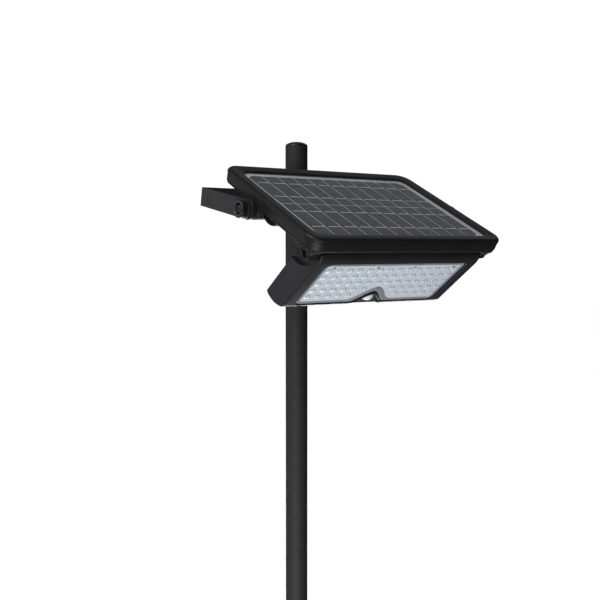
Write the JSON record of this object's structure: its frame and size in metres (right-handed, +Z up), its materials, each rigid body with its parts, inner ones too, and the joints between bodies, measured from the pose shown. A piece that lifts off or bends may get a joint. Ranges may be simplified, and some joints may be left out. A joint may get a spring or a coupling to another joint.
{
  "type": "solar street lamp",
  "caption": "Post-top street lamp with a bolt-down flange, a square base box, a round post, and a U-bracket carrying a tilting solar panel with a folding LED light.",
  "frame": {"origin": "on the post's axis at the underside of the base flange, where the lamp meets the ground", "axes": "+X to the right as seen from behind the lamp, +Y to its back, so the light faces -Y, +Z up along the post"},
  "size_m": [0.535, 0.4766, 3.1],
  "materials": {
    "powder_coat": "fine textured satin powder coat",
    "zinc": "zinc plated",
    "cast_black": "satin powder coat on a casting",
    "strap_black": "smooth satin powder coat",
    "abs_black": "moulded, fine spark texture",
    "abs_slate": "moulded, satin",
    "knob_black": "moulded, semi-gloss",
    "solar_glass": "tempered, low iron",
    "silicon": "monocrystalline cells",
    "ribbon": "tinned copper",
    "backsheet": "polyester sheet",
    "seal_rubber": "matt",
    "lens_clear": "moulded clear polycarbonate",
    "pir_white": "milky polyethylene",
    "pcb_white": "white solder mask",
    "pcb_green": "green solder mask",
    "chip": "phosphor",
    "alloy": "plain sheet",
    "cell_wrap": "shrink wrap"
  },
  "bodies": {
    "post": {"base_flange": "powder_coat", "base_box": "powder_coat", "neck_casting": "cast_black", "neck_screws": "knob_black", "pole_tube": "powder_coat", "pole_cap": "knob_black", "anchor_studs": "zinc", "anchor_washers": "zinc", "anchor_nuts": "zinc"},
    "mount": {"pole_saddle": "cast_black", "clamp_u_bolts": "zinc", "clamp_washers": "zinc", "clamp_nuts": "zinc", "yoke": "strap_black", "yoke_bolts": "zinc", "yoke_nuts": "zinc"},
    "head": {"panel_bezel": "abs_black", "panel_gasket": "seal_rubber", "panel_glass": "solar_glass", "solar_cells": "silicon", "cell_ribbons": "ribbon", "cell_backsheet": "backsheet", "panel_housing": "abs_black", "housing_screws": "zinc", "battery_cover": "abs_black", "cover_screws": "zinc", "battery_cells": "cell_wrap", "battery_holder": "abs_black", "controller_board": "pcb_green", "controller_parts": "knob_black", "pivot_washers": "zinc", "pivot_knobs": "knob_black", "pivot_bolts": "zinc", "hinge_pins": "zinc", "button_boot": "seal_rubber"},
    "light": {"light_housing": "abs_slate", "lens_cover": "lens_clear", "lens_gasket": "seal_rubber", "lens_screws": "zinc", "led_board": "pcb_white", "led_chips": "chip", "heat_plate": "alloy", "pir_dome": "pir_white", "pir_board": "pcb_green"},
    "button": {"power_button": "seal_rubber"}
  },
  "joints": [
    {"name": "clamp_swivel", "type": "hinge", "parent": "post", "child": "mount", "pos_m": [0, 0, 2.8938], "axis": [0, 0, 1], "range_deg": [-180, 180]},
    {"name": "head_tilt", "type": "hinge", "parent": "mount", "child": "head", "pos_m": [0, -0.20096, 2.86286], "axis": [1, 0, 0], "range_deg": [-30, 50]},
    {"name": "light_fold", "type": "hinge", "parent": "head", "child": "light", "pos_m": [0, -0.34173, 2.78005], "axis": [1, 0, 0], "range_deg": [-85, 14]},
    {"name": "button_press", "type": "slide", "parent": "head", "child": "button", "axis": [0, -0.4368, 0.8996], "range_m": [0, 0.0015], "stiffness_N_per_m": 1200}
  ]
}
